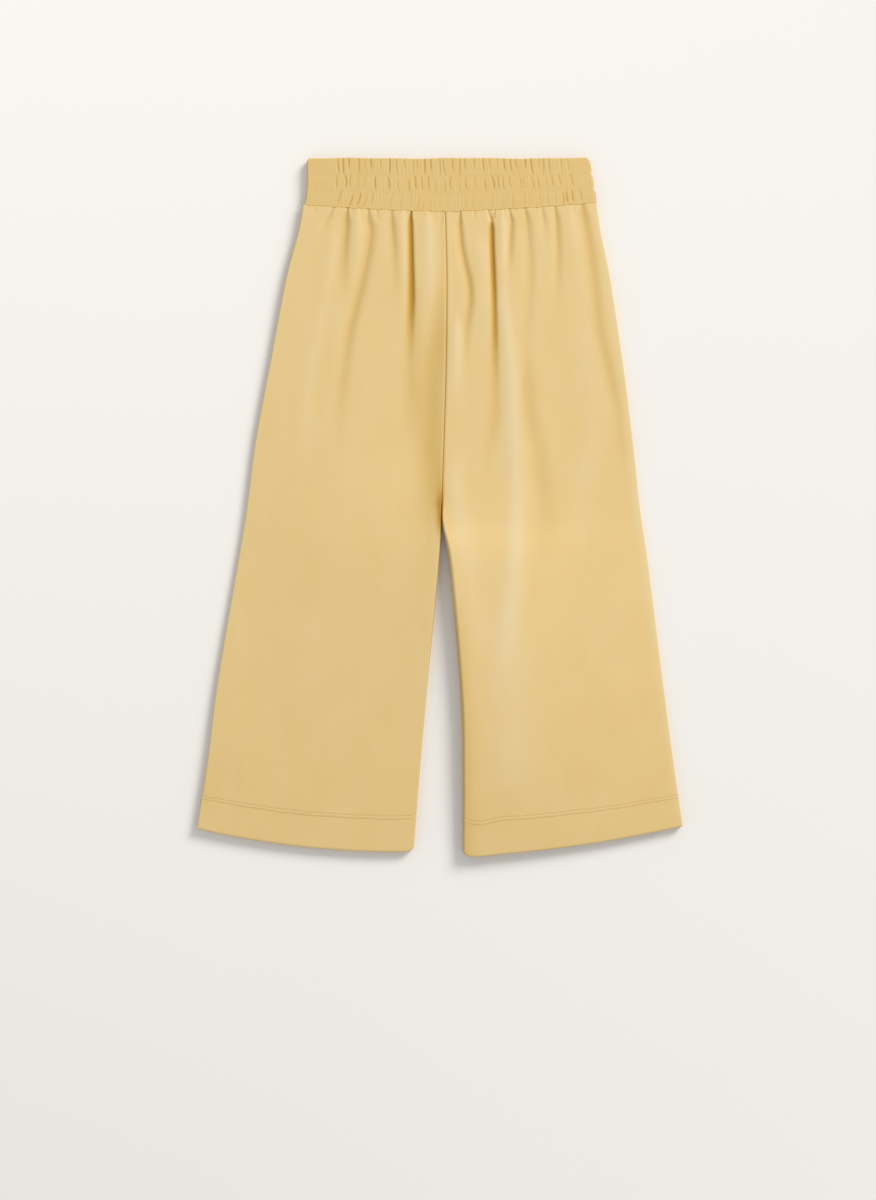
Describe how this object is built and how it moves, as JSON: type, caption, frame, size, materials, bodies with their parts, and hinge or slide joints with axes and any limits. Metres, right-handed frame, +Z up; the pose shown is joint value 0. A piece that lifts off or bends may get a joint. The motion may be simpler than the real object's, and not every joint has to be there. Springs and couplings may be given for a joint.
{
  "type": "wide-leg pull-on trousers laid flat",
  "caption": "Cropped wide-leg pull-on trousers in plain jersey, laid flat front up, with a shirred elastic waistband, gathers below it and twin-needled hems.",
  "frame": {"origin": "on the surface it lies on, under the middle of the garment's outline", "axes": "+Y from the hems to the waist, +Z up from the surface to the garment's front side, +X to the wearer's left side"},
  "size_m": [0.4612, 0.6619, 0.0165],
  "materials": {
    "jersey": "matte, faintly brushed"
  },
  "bodies": {
    "root": {"front_left": "jersey", "front_right": "jersey", "back_left": "jersey", "back_right": "jersey", "waistband": "jersey"}
  },
  "joints": []
}
